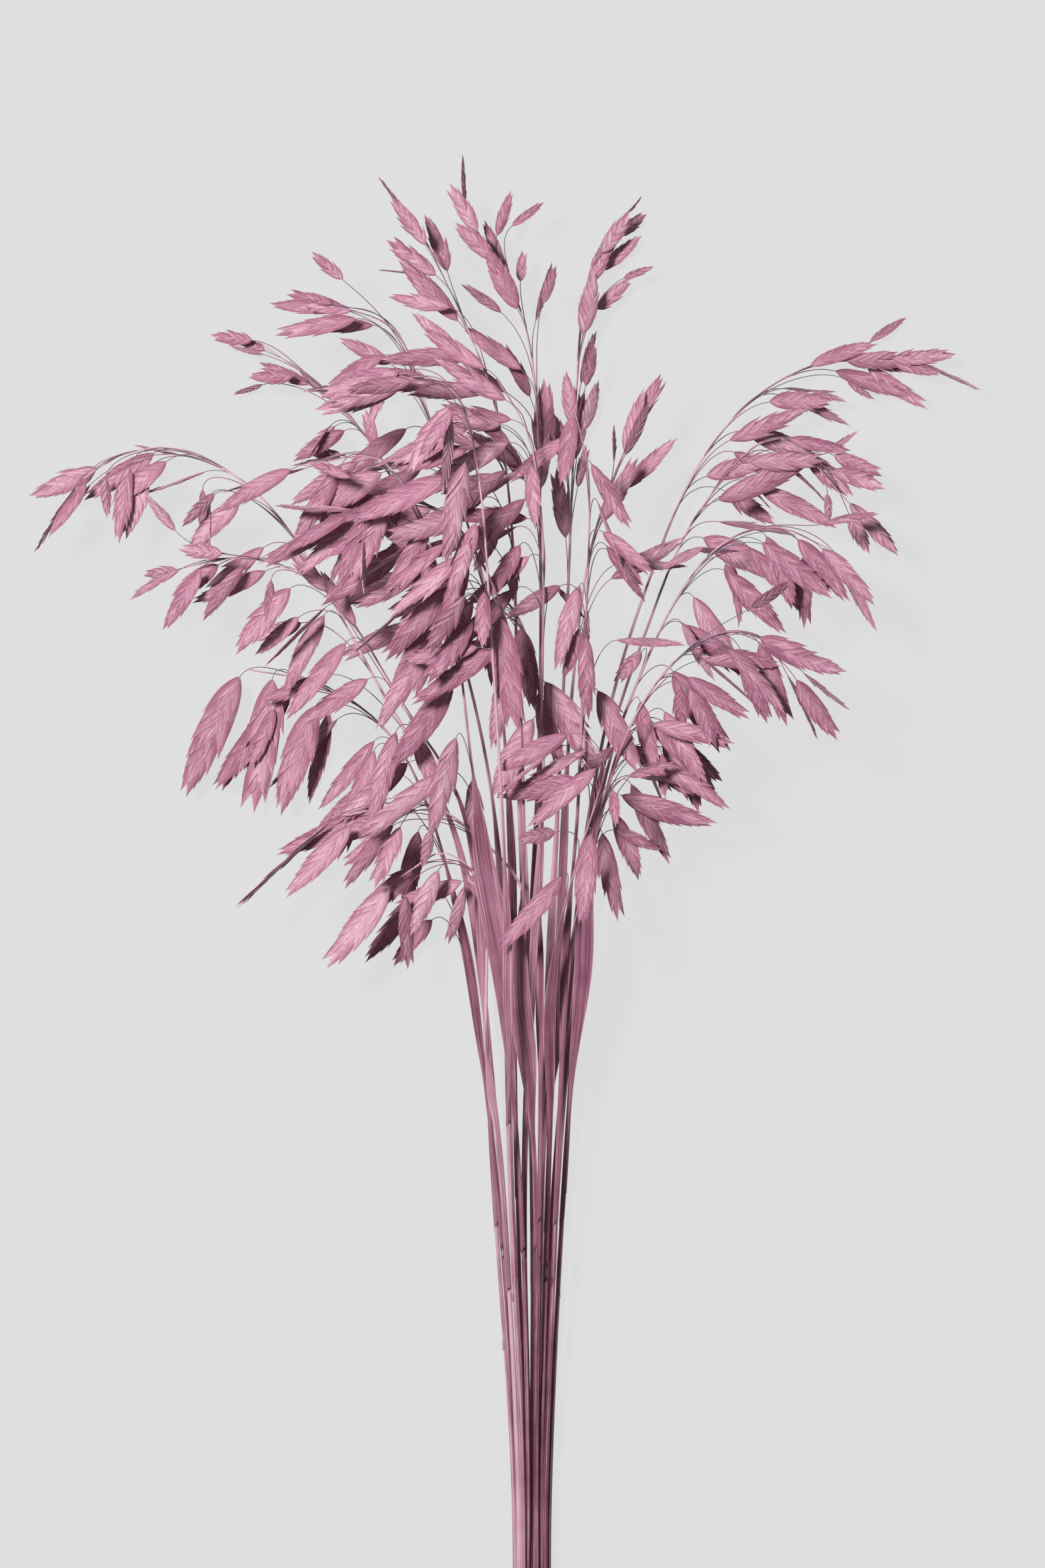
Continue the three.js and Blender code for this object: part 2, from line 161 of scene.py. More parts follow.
class StemLine:
    """The centre line of a stem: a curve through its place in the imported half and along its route."""

    def __init__(self, stem, draw, girth, bow):
        self.girth, self.bow = girth, bow
        column, row = stem["place"]
        across = column + (ROW_STAGGER if row % 2 else -ROW_STAGGER)
        points = [
            (middle + across * column_pitch, y, CUT_RADIUS + row * row_pitch)
            for y, middle, column_pitch, row_pitch in PACKED_STATIONS
        ]
        points[0] = (points[0][0], points[0][1] + draw(0, CUT_SPREAD), points[0][2])
        foot = points[-1][2]
        for i, (x, y) in enumerate(stem["route"]):
            rise = math.sin(math.pi / 2 * min(1, (i + 1) / (stem["head"] + 2)))
            points.append((x, y, mix(foot, stem["height"], rise)))
        points = np.array(points, float)
        before, after = 2 * points[0] - points[1], 2 * points[-1] - points[-2]
        self.knots = np.vstack([before, points, after])
        self.spans = len(points) - 1
        self.shares = np.linspace(0, 1, 400)
        strides = np.linalg.norm(np.diff(self.point(self.shares), axis=0), axis=1)
        self.walked = np.concatenate([[0], np.cumsum(strides)])

    def share(self, route_point):
        return (len(PACKED_STATIONS) + route_point) / self.spans

    def at_length(self, length):
        return np.interp(length, self.walked, self.shares)

    def length_at(self, share):
        return np.interp(share, self.shares, self.walked)

    def point(self, share):
        way = np.clip(np.asarray(share, float), 0, 1) * self.spans
        i = np.minimum(way.astype(int), self.spans - 1)
        w = (way - i)[..., None]
        a, b, c, d = (self.knots[i + n] for n in range(4))
        leave, arrive = (c - a) / 2, (d - b) / 2
        on = b + w * (leave + w * (3 * (c - b) - 2 * leave - arrive + w * (2 * (b - c) + leave + arrive)))
        on[..., 0] += self.bow * np.sin(np.pi * np.minimum(1, way / BOWED_SPANS)) ** 2
        return on

    def onward(self, share):
        near = 0.0001
        return unit(self.point(np.asarray(share) + near) - self.point(np.asarray(share) - near))

    def radius(self, share):
        return mix(TIP_RADIUS, CUT_RADIUS * self.girth, (1 - np.asarray(share)) ** TAPER)


class Skin:
    """The closed skins that grow together into one stem. grain is each point's place across and along
    the fibres, and tint its tone, its place across from 0 to 1 and its place along from 0 to 1."""

    def __init__(self):
        self.points, self.grain, self.tint, self.faces, self.finishes = [], [], [], [], []
        self.count = 0

    def loft(self, finish, rings, grain, tint):
        """A skin through rings of points that turn left about the way they run, with both ends capped."""
        steps, around = rings.shape[:2]
        corner = self.count + np.arange(steps * around).reshape(steps, around)
        beside = np.roll(corner, -1, axis=1)
        sides = np.stack([corner[:-1], beside[:-1], beside[1:], corner[1:]], axis=-1).reshape(-1, 4)
        faces = sides.tolist() + [corner[0, ::-1].tolist(), corner[-1].tolist()]
        self.faces += faces
        self.finishes += [finish] * len(faces)
        for kept, added in ((self.points, rings), (self.grain, grain), (self.tint, tint)):
            kept.append(np.broadcast_to(added, rings.shape).reshape(-1, 3))
        self.count += steps * around


def tube(skin, finish, centres, onward, radii, sides, tone, fibre):
    """A round skin along a line, its fibres running with it and its flanks, where the culms get painted
    shade, furthest across.
    """
    left = unit(np.cross(UP, onward))
    top = np.cross(onward, left)
    turn = 2 * np.pi * np.arange(sides) / sides
    outward = left[:, None] * np.cos(turn)[:, None] + top[:, None] * np.sin(turn)[:, None]
    rings = centres[:, None] + radii[:, None, None] * outward
    walked = np.concatenate([[0], np.cumsum(np.linalg.norm(np.diff(centres, axis=0), axis=1))])
    along = (walked / walked[-1])[:, None]
    widest = radii.max()
    grain = per_point(
        widest * np.cos(turn) + fibre, widest * np.sin(turn), walked[:, None] * FIBRE_STRETCH)
    # Across runs out to the flanks, where the culms get their dark rim colour as painted shade, fading
    # towards the tip.
    tint = per_point(tone, np.abs(np.cos(turn)) * (1 - FLANK_SHADE_FADE * along), along)
    skin.loft(finish, rings, grain, tint)


def add_culm(skin, line, chance, tone):
    """The culm, thicker above each joint, where a sheath clasps it, and hollow at its cut end."""
    whole = line.walked[-1]
    joints = [chance.uniform(*FIRST_JOINT)]
    while joints[-1] < JOINTED_SHARE * whole:
        joints.append(joints[-1] + chance.uniform(*JOINT_GAPS))
    joints = np.array(joints)
    near_joints = (joints[:, None] + JOINT_LENGTH * JOINT_RINGS).ravel()
    lengths = np.unique(np.concatenate([np.linspace(0, whole, CULM_STEPS), near_joints]))
    lengths = lengths[lengths <= whole]
    swelling = np.exp(-(((lengths[:, None] - joints) / JOINT_LENGTH) ** 2)).sum(axis=1)
    past = np.searchsorted(joints, lengths, side="right") - 1
    since = np.where(past < 0, 1, (lengths - joints[past]) / JOINT_GAPS[1]).clip(0, 1)
    sheath = SHEATH_STEP * (1 - since) * np.minimum(1, SHEATH_SHARPNESS * since)
    radii = line.radius(line.at_length(lengths)) * (1 + JOINT_SWELLING * swelling + sheath)
    lengths = np.concatenate([[HOLLOW_DEPTH, 0], lengths])
    radii = np.concatenate([HOLLOW_SHARE * radii[[0, 0]], radii])
    share = line.at_length(lengths)
    centres, onward = line.point(share), line.onward(share)
    # Painted light, paler towards the tip.
    tones_with_painted_light = tone + PAINTED_LIGHT_TOWARDS_TIP * (lengths / whole)[:, None]
    tube(skin, CULM, centres, onward, radii, CULM_SIDES, tones_with_painted_light, FIBRE_SHIFT * chance.random())
    for joint in joints[1::2]:
        add_torn_lip(skin, line, joint, chance, tone + LIP_TONE)


LIP_LENGTHS = (2.5, 5)
LIP_TURNS = (0.15, 0.85)  # in half turns, so that it shows on the upper side
LIP_STEPS = 7
LIP_ROOT = 1.1  # in radii of the culm
LIP_STANDS_OFF = 0.6
LIP_HALF_WIDTH = 0.55
LIP_HALF_THICKNESS = 0.09
LIP_TAPER = (0.04, 0.9)  # the stretch of a half wave that its width follows
LIP_SECTION = np.array([(1, 0), (0, 1), (-1, 0), (0, -1)])
LIP_FIBRE = 3.0
LIP_TONE = -0.05
MIDWAY = 0.5


def add_torn_lip(skin, line, joint, chance, tone):
    """The torn lower lip of a sheath: a sliver that stands off the culm at a joint."""
    at = line.at_length(joint)
    onward = line.onward(at)
    left = unit(np.cross(UP, onward))
    turn = chance.uniform(*LIP_TURNS) * math.pi
    out = left * math.cos(turn) + np.cross(onward, left) * math.sin(turn)
    beside = np.cross(out, onward)
    length = chance.uniform(*LIP_LENGTHS)
    t = np.linspace(0, 1, LIP_STEPS)[:, None]
    height = LIP_ROOT * line.radius(at) + LIP_STANDS_OFF * (1 - t) ** 2
    spine = line.point(at) + onward * (length * (t - 1)) + out * height
    across = LIP_HALF_WIDTH * np.sin(np.pi * mix(*LIP_TAPER, t)) ** 0.8 * LIP_SECTION[:, 0]
    outward = LIP_HALF_THICKNESS * LIP_SECTION[:, 1]
    rings = spine[:, None] + beside * across[..., None] + out * outward[:, None]
    grain = per_point(across, LIP_FIBRE, t * length * FIBRE_STRETCH)
    skin.loft(CULM, rings, grain, np.array([tone, MIDWAY, MIDWAY]))


def shader_colour(red, green, blue):
    """A colour given as it looks on a screen, as the linear one that a shader takes."""
    shares = np.array([red, green, blue]) / 255
    linear = np.where(shares <= 0.04045, shares / 12.92, ((shares + 0.055) / 1.055) ** 2.4)
    return (*linear.tolist(), 1.0)


STRAW_GLOSS = 0.35
STRAW_SHEEN = 0.12
SHEEN_ROUGHNESS = 0.5
WAVE_TURN = 20  # radians that a wave texture of scale 1 runs through in each unit of length
NERVE_WEIGHT = 0.12
STREAK_CONTRAST = 1.7
CLOUD_SCALE = 70.0
CLOUD_CONTRAST = 0.5
MEAN_UPTAKE = 0.75  # taken off, so that a tone of 0 lies about the middle dye
DEEP_AT, MIDDLE_AT, PALE_AT = 0.1, 0.5, 0.9
RIM_AND_FLANK_SHADE_FROM = 0.88
KEEL_SHADE_FADE = (0.15, 0.65)
FOOT_FADE = 0.35
RELIEF_STRENGTH = 0.7


def dyed_straw_with_painted_shade(name, deep, middle, pale, rim_and_flank_shade, streaks, nerves, relief,
               rim_and_flank_shade_share, keel_shade_share, foot_share, roughness):
    """Dyed straw: fine pale and dark streaks along the fibres, raised nerves, cloudy uptake of the dye, a rim
    colour at the edges across, which is a pale margin on leaves and scales and painted shade on the flanks
    of the culms, painted shade towards the keel, where on a scale the one below lies over it, which also
    darkens leaves towards the middle, and a deeper foot. streaks and nerves are in numbers per millimetre,
    relief in millimetres."""
    material = bpy.data.materials.new(name)
    material.use_nodes = True
    tree = material.node_tree
    shader = tree.nodes["Principled BSDF"]
    shader.inputs["Roughness"].default_value = roughness
    shader.inputs["Specular IOR Level"].default_value = STRAW_GLOSS
    shader.inputs["Sheen Weight"].default_value = STRAW_SHEEN
    shader.inputs["Sheen Roughness"].default_value = SHEEN_ROUGHNESS

    def node(kind, inputs=(), **settings):
        made = tree.nodes.new(kind)
        for setting, value in settings.items():
            setattr(made, setting, value)
        for socket, value in dict(inputs).items():
            if isinstance(value, bpy.types.NodeSocket):
                tree.links.new(value, made.inputs[socket])
            else:
                made.inputs[socket].default_value = value
        return made

    def point_values(attribute):
        return node("ShaderNodeAttribute", attribute_name=attribute).outputs["Vector"]

    def weighted(value, weight, plus):
        return node("ShaderNodeMath", {0: value, 1: weight, 2: plus}, operation="MULTIPLY_ADD").outputs[0]

    def faded(value, start, end, at_start, at_end):
        return node("ShaderNodeMapRange", {0: value, 1: start, 2: end, 3: at_start, 4: at_end}).outputs[0]

    def overlaid(under, colour, share):
        return node("ShaderNodeMix", {0: share, 6: under, 7: shader_colour(*colour)}, data_type="RGBA").outputs[2]

    grain = point_values("grain")
    tone, across, along = node("ShaderNodeSeparateXYZ", {0: point_values("tint")}).outputs
    fibres = node("ShaderNodeTexNoise", {"Vector": grain, "Scale": streaks, "Detail": 3.0, "Roughness": 0.65})
    where = node("ShaderNodeTexCoord").outputs["Object"]
    clouds = node("ShaderNodeTexNoise", {"Vector": where, "Scale": CLOUD_SCALE, "Detail": 2.0})
    veins = node("ShaderNodeTexWave", {
        "Vector": grain, "Scale": nerves * 2 * math.pi / WAVE_TURN,
        "Distortion": 2.5, "Detail": 1.0, "Detail Scale": 1.5})
    fibrous = weighted(veins.outputs["Fac"], NERVE_WEIGHT, fibres.outputs["Fac"])
    streaked = weighted(fibrous, STREAK_CONTRAST, tone)
    clouded = weighted(clouds.outputs["Fac"], CLOUD_CONTRAST, streaked)
    uptake = node("ShaderNodeMath", {0: clouded, 1: MEAN_UPTAKE}, operation="SUBTRACT").outputs[0]
    ramp = node("ShaderNodeValToRGB", {"Fac": uptake})
    ramp.color_ramp.elements[0].position, ramp.color_ramp.elements[0].color = DEEP_AT, shader_colour(*deep)
    ramp.color_ramp.elements[1].position, ramp.color_ramp.elements[1].color = PALE_AT, shader_colour(*pale)
    ramp.color_ramp.elements.new(MIDDLE_AT).color = shader_colour(*middle)
    # Painted shade: the dark rim colour darkens the flanks of the culms, where a round culm turns from the
    # lamp. On leaves and scales the rim is a pale margin.
    rimmed_and_flank_shaded = overlaid(ramp.outputs["Color"], rim_and_flank_shade, faded(across, RIM_AND_FLANK_SHADE_FROM, 1.0, 0.0, rim_and_flank_shade_share))
    # Painted shade: towards the keel a scale darkens where the open margin of the scale below lies over it.
    # The leaves darken towards the middle.
    keel_shaded = overlaid(rimmed_and_flank_shaded, deep, faded(across, *KEEL_SHADE_FADE, keel_shade_share, 0.0))
    footed = overlaid(keel_shaded, deep, faded(along, 0.0, FOOT_FADE, foot_share, 0.0))
    bump = node("ShaderNodeBump", {"Height": fibrous, "Strength": RELIEF_STRENGTH, "Distance": relief * MM})
    tree.links.new(footed, shader.inputs["Base Color"])
    tree.links.new(bump.outputs[0], shader.inputs["Normal"])
    return material


# The dark rim colour of the culms is painted shade on their flanks.
culm_straw = dyed_straw_with_painted_shade(
    "culm_straw", deep=(96, 50, 71), middle=(176, 113, 138), pale=(227, 182, 199), rim_and_flank_shade=(78, 42, 58),
    streaks=1.7, nerves=2.0, relief=0.1, rim_and_flank_shade_share=0.6, keel_shade_share=0.0, foot_share=0.0, roughness=0.34)


# Strap leaves and sheaths
# A leaf clasps the culm from a joint upwards as a sheath and opens into a shallow, ribbed strap. Dried,
# it is papery and brittle: its foot is torn off ragged and its edges are wavy.
LEAF = 1
LEAF_CHANNEL = 0.5
LEAF_SKEW = 1.25
LEAF_FULLNESS = 2.0
LEAF_THICKNESS = 0.25
LEAF_CLEARANCE = 0.25  # between the leaf and the top of its culm
LEAF_STEPS = 48
LEAF_RUN_OUT = 0.45  # route points by which the sheath goes on below the strap
LEAF_LOWEST = -1.9  # the lowest route point that a sheath reaches
LEAF_EDGE = 0.05
RIB_PITCH = 0.9
RIB_HEIGHT = 0.07
SHEATH_CLASP = 1.3
TORN_FOOT = 2.5
WAVE_HEIGHT = 0.105  # in half widths that stand past the culm, as for the sway
WAVE_RATES = (14, 22)
SWAY_WIDTH = 0.3
SWAY_RATES = (8, 14)
PHASES = (0, 6)


def add_leaf(skin, line, leaf, chance, tone):
    start, end, width = leaf
    share = line.share(np.linspace(max(start - LEAF_RUN_OUT, LEAF_LOWEST), end, LEAF_STEPS))
    centres, onward, radius = line.point(share), line.onward(share), line.radius(share)
    left = unit(np.cross(UP, onward))
    top = np.cross(onward, left)
    along = np.linspace(0, 1, LEAF_STEPS)
    strap = width / 2 * np.sin(np.pi * along**LEAF_SKEW).clip(0) ** LEAF_FULLNESS
    clasp = SHEATH_CLASP * radius * (1 - along**6)
    half = np.maximum(strap, clasp) + LEAF_EDGE
    opened = np.maximum(0, half - radius)
    wave = WAVE_HEIGHT * opened * np.sin(along * chance.uniform(*WAVE_RATES) + chance.uniform(*PHASES))
    sway = SWAY_WIDTH * opened * np.sin(along * chance.uniform(*SWAY_RATES) + chance.uniform(*PHASES))
    rib_count = round(width / RIB_PITCH)
    a = np.linspace(-1, 1, 4 * rib_count + 5)
    ribs = RIB_HEIGHT * np.cos(2 * np.pi * a * rib_count) * (1 - a**8)
    rise = (radius[:, None] * (1 - a**2) + LEAF_CLEARANCE + LEAF_CHANNEL * opened[:, None] * np.abs(a) ** 1.5
            + wave[:, None] * np.sign(a) * a**2 + ribs * np.minimum(1, opened)[:, None])
    beside = half[:, None] * a + sway[:, None]
    upper = centres[:, None] + left[:, None] * beside[..., None] + top[:, None] * rise[..., None]
    torn = chance.uniform(0, 1, (len(a), 1)) ** 2 + 0.5 + 0.5 * a[:, None]
    upper[0] -= onward[0] * (TORN_FOOT * torn)
    lower = upper - top[:, None] * LEAF_THICKNESS
    rings = np.concatenate([lower[:, ::-1], upper], axis=1)
    around = np.concatenate([a[::-1], a])
    walked = line.length_at(share) - line.length_at(share[0])
    grain = per_point(half[:, None] * around, FIBRE_SHIFT * chance.random(), walked[:, None] * FIBRE_STRETCH)
    tint = per_point(tone, np.abs(around), along[:, None])
    skin.loft(LEAF, rings, grain, tint)


leaf_straw = dyed_straw_with_painted_shade(
    "leaf_straw", deep=(118, 66, 88), middle=(184, 124, 148), pale=(223, 180, 196), rim_and_flank_shade=(228, 190, 204),
    streaks=1.5, nerves=1.6, relief=0.3, rim_and_flank_shade_share=0.4, keel_shade_share=0.25, foot_share=0.3, roughness=0.5)


# Stalks
# Each spikelet hangs on a hair-thin, wiry stalk that leaves the culm along its way and bends over to
# the spikelet's foot. Some took the dye as crimson, and the finest dried to a slate blue.
STALK = 2
STALK_RADII = (0.21, 0.14)
STALK_SIDES = 6
STALK_STEPS = 18
STALK_LEADS = (6, 38)  # how far below the spikelet's place on the culm the stalk leaves it
STALK_BEND = 9
STALK_BEND_SHARE = 0.45  # a short stalk bends over in this share of its reach
STALK_RUN = 0.5  # share of its reach that the stalk runs on along the culm
STALK_SUNK = 0.8


def add_stalk(skin, line, place, tone, chance):
    foot, along = place["foot"], place["along"]
    lead = line.at_length(line.length_at(place["at"]) - chance.uniform(*STALK_LEADS))
    root = line.point(lead)
    gap = np.linalg.norm(foot - root)
    over = min(STALK_BEND, STALK_BEND_SHARE * gap)
    run_on, bent_over = root + STALK_RUN * gap * line.onward(lead), foot - over * along
    t = np.linspace(0, 1, STALK_STEPS)[:, None]
    centres = ((1 - t) ** 3 * root + 3 * (1 - t) ** 2 * t * run_on
               + 3 * (1 - t) * t**2 * bent_over + t**3 * (foot + STALK_SUNK * along))
    onward = unit(np.gradient(centres, axis=0))
    radii = mix(*STALK_RADII, t[:, 0])
    tube(skin, STALK, centres, onward, radii, STALK_SIDES, tone, FIBRE_SHIFT * chance.random())


stalk_straw = dyed_straw_with_painted_shade(
    "stalk_straw", deep=(108, 122, 134), middle=(142, 84, 106), pale=(178, 112, 138), rim_and_flank_shade=(178, 112, 138),
    streaks=2.0, nerves=1.0, relief=0.05, rim_and_flank_shade_share=0.0, keel_shade_share=0.0, foot_share=0.0, roughness=0.5)


# Spikelets
# A spikelet is a flat ear of papery scales in two rows. Each scale is folded along its keel, which is
# the outer edge, and its open side clasps the scales above, so that the two rows plait over the middle.
SPIKELET = 3
STALK_REACH = (8, 22)
STALK_ALONG = 0.45
STALK_OUT = 0.75
TIP_REACH = 0.3
LEVELS = (-4.5, 4.5)
SIDE_TURN = 14
PITCH = 6
ROLL = 26
EDGE_ON_EVERY = 6
EDGE_ON_ROLL = 78
SIZE_RANGE = (0.82, 1.14)
SMALL_SHARE = 0.75
SMALL_SIZES = (0.45, 0.9)
SMALL_STRETCH = (-0.1, 0.9)  # shares of the head, between which the late ones hang
SMALL_SPREAD = 40
SMALL_PITCH = 12
SMALL_ROLL = 45
SMALL_LEVELS = (-8, 8)
SMALL_CLEARANCE = 6


def turned(vector, axis, angle):
    return (vector * math.cos(angle) + np.cross(axis, vector) * math.sin(angle)
            + axis * np.dot(axis, vector) * (1 - math.cos(angle)))


def pointing(heading, pitch):
    return np.array([
        math.cos(heading) * math.cos(pitch), math.sin(heading) * math.cos(pitch), math.sin(pitch)])


def hung(line, at, along, roll, reach, lift, length):
    """Where a spikelet hangs that points along, its face rolled from upright, on a stalk of that reach."""
    facing = turned(unit(UP - along * along[2]), along, roll)
    foot = line.point(at) + line.onward(at) * STALK_ALONG * reach + along * STALK_OUT * reach + UP * lift
    return dict(
        at=at, foot=foot, along=along, facing=facing, across=np.cross(facing, along), length=length)


def spikelet_places(stem, line, draw):
    """Where each spikelet of a head hangs, turned to the left and the right of the heading by turns."""
    places = []
    head_start = line.share(stem["head"])
    for i in range(stem["count"]):
        share = i / (stem["count"] - 1)
        last = i == stem["count"] - 1
        stray = (SIDE_TURN if i % 2 else -SIDE_TURN) + draw(-stem["spread"], stem["spread"])
        heading = math.radians(mix(*stem["hang"], share) + (0 if last else stray))
        pitch = math.radians(draw(-PITCH, PITCH))
        edge_on = i % EDGE_ON_EVERY == EDGE_ON_EVERY - 2
        roll = math.radians(draw(-ROLL, ROLL) + (EDGE_ON_ROLL if edge_on else 0))
        reach = draw(*STALK_REACH) * mix(1, TIP_REACH, share)
        lift = 0 if last else LEVELS[i % len(LEVELS)]
        length = mix(*stem["size"], share) * (1 if last else draw(*SIZE_RANGE))
        at = mix(head_start, 1, share)
        places.append(hung(line, at, pointing(heading, pitch), roll, reach, lift, length))
    return places


def small_places(stem, line, chance):
    """Where the small, late spikelets hang between the others of a head, turned every way."""
    places = []
    for _ in range(round(SMALL_SHARE * stem["count"])):
        share = chance.uniform(*SMALL_STRETCH)
        heading = math.radians(mix(*stem["hang"], share) + chance.normal(0, SMALL_SPREAD))
        pitch = math.radians(chance.normal(0, SMALL_PITCH))
        roll = math.radians(chance.normal(0, SMALL_ROLL))
        reach = chance.uniform(*STALK_REACH)
        lift = chance.uniform(*SMALL_LEVELS)
        length = mix(*stem["size"], max(share, 0)) * chance.uniform(*SMALL_SIZES)
        at = mix(line.share(stem["head"]), 1, share)
        place = hung(line, at, pointing(heading, pitch), roll, reach, lift, length)
        place["foot"][2] = max(place["foot"][2], SMALL_CLEARANCE)
        places.append(place)
    return places


BASE_WIDTH = 3
WIDTH_GROWTH = 0.23  # millimetres of width that each millimetre of length adds
SLIMNESS = (0.74, 0.86, 0.98)
BASE_SCALES = 4.5
SCALES_PER_MM = 0.31
USUAL_LENGTH = 34
OPEN_HEIGHT = 0.8  # half the thickness of a spikelet of usual length
SPIKELET_BOW = 0.07
SPIKELET_SKEW = 0.9
SPIKELET_FULLNESS = 0.65
LOOSENESS = (0.04, 0.04, 0.1)
LOOSE_REACH = 2
END_SPREADS = (0.3, 0.3, 0.36, 0.62)
LAST_SPREAD = 0.1
BLUNT_END = 0.985
FIRST_TIP = 0.29  # share of the spikelet's length, as the strays and the spans are
TIP_CROWDING = 0.95
TIP_STRAY = 0.012
SCALE_SPANS = (0.38, 0.34)
SCALE_REACH = 0.92
YOUNG_SCALES = 4  # the lowest scales, narrower, straighter and less pinched than the grown ones
FOOT_PINCHES = (0.06, 0.18)
SCALE_WIDTHS = (0.48, 0.76)
SCALE_PATHS = (0.9, 1.16)
SCALE_EDGE = 0.04
FOLD_EDGE = 0.05
FLATTER_TOP = 0.35
LIFTED_EDGE = 0.2
SCALE_STEPS = np.array([0, 0.08, 0.2, 0.37, 0.55, 0.73, 0.88, 1.0])
SCALE_ACROSS = np.array([0, 0.3, 0.6, 0.85, 1, 1, 0.85, 0.6, 0.3])  # from the keel to the open edge and back
SCALE_FACE = np.array([0, 1, 1, 1, 1, -1, -1, -1, -1])
FACE_FIBRE = 5
SCALE_FIBRE_STRETCH = 3 * FIBRE_STRETCH
SCALE_TONES = (-0.1, 0.1)


def add_spikelet(skin, place, tone, chance):
    """Folded scales to the left and the right by turns, from the foot of the spikelet to its tip."""
    length = place["length"]
    half = chance.choice(SLIMNESS) * (BASE_WIDTH + WIDTH_GROWTH * length) / 2
    count = round(BASE_SCALES + SCALES_PER_MM * length)
    open_height = OPEN_HEIGHT * math.sqrt(length / USUAL_LENGTH)
    bow_across, bow_facing = chance.uniform(-SPIKELET_BOW, SPIKELET_BOW, 2)
    looseness = chance.choice(LOOSENESS)
    end_spread = chance.choice(END_SPREADS)
    s, q = SCALE_STEPS[:, None], SCALE_ACROSS
    for k in range(count):
        side = 1 if k % 2 else -1
        grown = min(1, k / YOUNG_SCALES)
        tip = mix(FIRST_TIP, 1, (k / (count - 1)) ** TIP_CROWDING) + chance.uniform(-TIP_STRAY, TIP_STRAY)
        tip = min(tip, 1)
        foot = max(0, tip - mix(*SCALE_SPANS, k / count))
        scale_length = (tip - foot) * length
        outline = math.sin(math.pi * min(tip, BLUNT_END) ** SPIKELET_SKEW) ** SPIKELET_FULLNESS
        least = end_spread if k < count - 1 else LAST_SPREAD
        stray = chance.uniform(-LOOSE_REACH, LOOSE_REACH) * looseness
        reach = half * max(outline, least) * (SCALE_REACH + stray)
        swell = np.sin(np.pi * mix(mix(*FOOT_PINCHES, grown), 1, s**0.8)) ** 1.3
        width = mix(*SCALE_WIDTHS, grown) * half * swell + SCALE_EDGE
        rise = open_height * s**0.55 * (1 - s**4) * (1 - FLATTER_TOP * k / count) + FOLD_EDGE
        x = foot * length + s * scale_length + 0 * q
        y = reach * (1 - (1 - s) ** mix(*SCALE_PATHS, grown)) + width * (0.5 - q)
        z = SCALE_FACE * rise * mix(q**0.6, q**5, LIFTED_EDGE) + s**2 * half * chance.normal(0, looseness)
        bent = length * (x / length) ** 2
        y = side * y + bow_across * bent
        z = z + bow_facing * bent
        rings = (place["foot"] + place["along"] * x[..., None] + place["across"] * y[..., None]
                 + place["facing"] * z[..., None])
        fibre = FIBRE_SHIFT * chance.random() + FACE_FIBRE * SCALE_FACE
        grain = per_point(width * q, fibre, s * scale_length * SCALE_FIBRE_STRETCH)
        tint = per_point(tone + chance.uniform(*SCALE_TONES), q, s)
        if side < 0:
            rings, grain, tint = rings[:, ::-1], grain[:, ::-1], tint[:, ::-1]
        skin.loft(SPIKELET, rings, grain, tint)


# The keel share of the scales is painted shade under the margin of the scale below.
scale_straw = dyed_straw_with_painted_shade(
    "scale_straw", deep=(150, 86, 112), middle=(205, 144, 168), pale=(231, 194, 208), rim_and_flank_shade=(241, 216, 224),
    streaks=2.5, nerves=1.6, relief=0.1, rim_and_flank_shade_share=0.3, keel_shade_share=0.7, foot_share=0.45, roughness=0.6)


# The stems put together
# A stem grows as one piece, from its cut end to the tip of its head, and it is laid in the bunch whole.
# Nothing ties the stems: they lie on each other and on the floor.
SHARP = math.radians(38)
FLOOR_BEND = 1.5  # below this height, what would reach under the floor bends to lie on it
STEM_TONES = (-0.16, 0.14)
CULM_CONTRAST = 2.0  # how much more the culms differ in tone than the stems as a whole
LEAF_TONES = (-0.05, 0.1)
STALK_TONES = (0.15, 0.05, -0.3)
SPIKELET_CONTRAST = 0.5
SPIKELET_TONES = (-0.16, 0.12)

for number, stem in enumerate(STEMS, 1):
    draw = seeded_draws(stem["seed"])
    chance = np.random.default_rng(number)
    line = StemLine(stem, draw, chance.uniform(*GIRTHS), chance.uniform(*BOWS))
    skin = Skin()
    stem_tone = chance.uniform(*STEM_TONES)
    add_culm(skin, line, chance, CULM_CONTRAST * stem_tone)
    add_leaf(skin, line, stem["leaf"], chance, stem_tone + chance.uniform(*LEAF_TONES))
    for place in spikelet_places(stem, line, draw) + small_places(stem, line, chance):
        add_stalk(skin, line, place, chance.choice(STALK_TONES), chance)
        spikelet_tone = SPIKELET_CONTRAST * stem_tone + chance.uniform(*SPIKELET_TONES)
        add_spikelet(skin, place, spikelet_tone, chance)

    node = f"wood_oats_stem_{number:02d}"
    mesh = bpy.data.meshes.new(f"oats_stem_{number:02d}")
    points = np.concatenate(skin.points)
    low = points[:, 2] < FLOOR_BEND
    points[low, 2] = FLOOR_BEND * np.exp(points[low, 2] / FLOOR_BEND - 1)
    mesh.from_pydata((points * MM).tolist(), [], skin.faces)
    for material in (culm_straw, leaf_straw, stalk_straw, scale_straw):
        mesh.materials.append(material)
    mesh.polygons.foreach_set("material_index", skin.finishes)
    for name, values in (("grain", skin.grain), ("tint", skin.tint)):
        attribute = mesh.attributes.new(name, "FLOAT_VECTOR", "POINT")
        attribute.data.foreach_set("vector", np.concatenate(values).astype(np.float32).ravel())
    mesh.shade_smooth()
    mesh.set_sharp_from_angle(angle=SHARP)
    piece = bpy.data.objects.new(f"oats_stem_{number:02d}", mesh)
    bpy.context.scene.collection.objects.link(piece)
    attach(piece, "root")
    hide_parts(node)


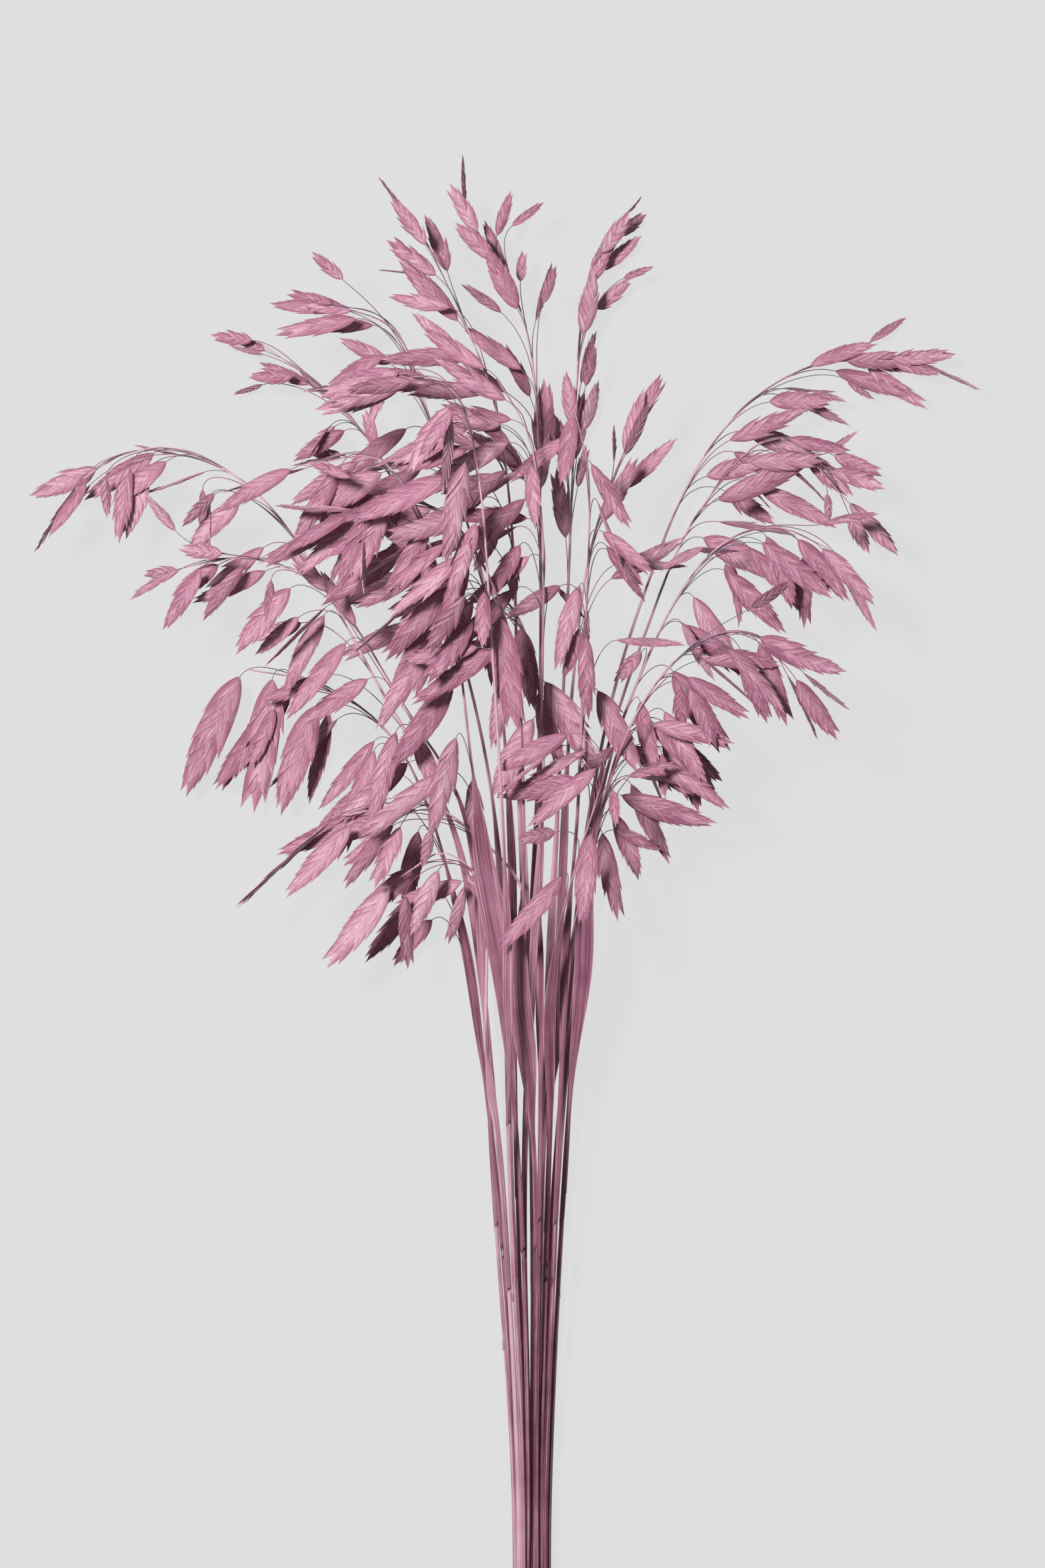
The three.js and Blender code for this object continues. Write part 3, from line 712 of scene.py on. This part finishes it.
# Floor
# A plain pale floor, matte and lit from within as a light table is, so that shadows on it stay faint.
FLOOR_HALF = 4.0
FLOOR_GREY = 0.04
FLOOR_GLOW = 0.6955
floor_mesh = bpy.data.meshes.new("floor")
floor_mesh.from_pydata([(-FLOOR_HALF, -FLOOR_HALF, 0), (FLOOR_HALF, -FLOOR_HALF, 0),
                        (FLOOR_HALF, FLOOR_HALF, 0), (-FLOOR_HALF, FLOOR_HALF, 0)], [], [(0, 1, 2, 3)])
floor_paint = bpy.data.materials.new("pale_floor")
floor_paint.use_nodes = True
paint = floor_paint.node_tree.nodes["Principled BSDF"]
paint.inputs["Base Color"].default_value = (FLOOR_GREY, FLOOR_GREY, FLOOR_GREY, 1)
paint.inputs["Roughness"].default_value = 0.9
paint.inputs["Specular IOR Level"].default_value = 0.0
paint.inputs["Emission Color"].default_value = (1, 1, 1, 1)
paint.inputs["Emission Strength"].default_value = FLOOR_GLOW
floor_mesh.materials.append(floor_paint)
floor = bpy.data.objects.new("floor", floor_mesh)
bpy.context.scene.collection.objects.link(floor)
floor.visible_diffuse = False


# Light and camera
# A soft lamp above the heads and to the left, even grey light all round, and a camera straight above
# the bunch that frames it as it is seen in the picture.
AIM = (0.0, 0.06, 0.04)
LAMP_PLACE = (-0.7, 0.55, 2.08)
LAMP_SIZE = 0.32
LAMP_POWER = 50.0
AROUND_LIGHT = 0.155
FRAME_HEIGHT = 0.588
FRAME_MIDDLE = (0.0055, 0.06175)
FRAME_LEVEL = 0.045
CAMERA_DISTANCE = 3.0
SENSOR_SIZE = 36  # along the longer side of the frame

lamp = bpy.data.lights.new("key", "AREA")
lamp.size = LAMP_SIZE
lamp.energy = LAMP_POWER
key = bpy.data.objects.new("key", lamp)
key.location = LAMP_PLACE
away = [a - b for a, b in zip(LAMP_PLACE, AIM)]
key.rotation_euler = (math.acos(away[2] / math.dist(LAMP_PLACE, AIM)), 0, math.atan2(away[0], -away[1]))
bpy.context.scene.collection.objects.link(key)

world = bpy.data.worlds.new("studio")
world.use_nodes = True
world.node_tree.nodes["Background"].inputs["Color"].default_value = (1, 1, 1, 1)
world.node_tree.nodes["Background"].inputs["Strength"].default_value = AROUND_LIGHT
bpy.context.scene.world = world
bpy.context.scene.view_settings.view_transform = "Standard"

camera_data = bpy.data.cameras.new("camera")
camera_data.sensor_width = SENSOR_SIZE
camera_data.lens = SENSOR_SIZE * CAMERA_DISTANCE / FRAME_HEIGHT
camera = bpy.data.objects.new("camera", camera_data)
camera.location = (*FRAME_MIDDLE, FRAME_LEVEL + CAMERA_DISTANCE)
bpy.context.scene.collection.objects.link(camera)
bpy.context.scene.camera = camera
